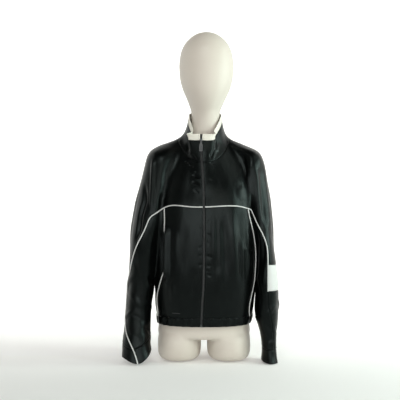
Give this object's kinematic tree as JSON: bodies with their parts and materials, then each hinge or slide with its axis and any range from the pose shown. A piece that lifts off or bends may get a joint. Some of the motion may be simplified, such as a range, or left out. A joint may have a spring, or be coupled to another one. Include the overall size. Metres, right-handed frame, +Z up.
{
  "type": "track jacket on a display torso",
  "caption": "Zipped satin track jacket with a stand-up collar, piped seams and a plain sleeve block, worn by an armless display torso with an egg-shaped head.",
  "frame": {"origin": "middle of the bounding box's bottom, under the torso's stubs", "axes": "+Z up, the jacket's front faces -Y, the wearer's left side is +X"},
  "size_m": [0.4948, 0.2646, 1.0385],
  "materials": {
    "black_satin": "satin",
    "white_cloth": "soft sheen",
    "ivory_cloth": "matte",
    "zip_tape": "matte",
    "zip_coil": "matte",
    "zip_metal": "dark plated",
    "form_shell": "matte"
  },
  "bodies": {
    "jacket": {"upper_left": "black_satin", "upper_right": "black_satin", "back": "black_satin", "front_left": "black_satin", "front_right": "black_satin", "side_left": "black_satin", "side_right": "black_satin", "under_sleeve_left": "black_satin", "under_sleeve_right": "black_satin", "sleeve_lower_left": "black_satin", "cuff_left": "black_satin", "cuff_right": "black_satin", "hem_band": "black_satin", "collar": "black_satin", "sleeve_block_left": "white_cloth", "chest_piping_left": "white_cloth", "chest_piping_right": "white_cloth", "side_piping_left": "white_cloth", "side_piping_right": "white_cloth", "collar_binding": "ivory_cloth", "zip_tape_left": "zip_tape", "zip_tape_right": "zip_tape", "zip_chain": "zip_coil", "zip_box": "zip_metal", "zip_slider": "zip_metal", "display_torso": "form_shell"},
    "tab": {"pull_tab": "zip_metal"}
  },
  "joints": [
    {"name": "pull_tab_hinge", "type": "hinge", "parent": "jacket", "child": "tab", "pos_m": [0.00433, -0.08469, 0.6849], "axis": [-0.9993, 0.0343, 0.0141], "range_deg": [0, 150]}
  ]
}
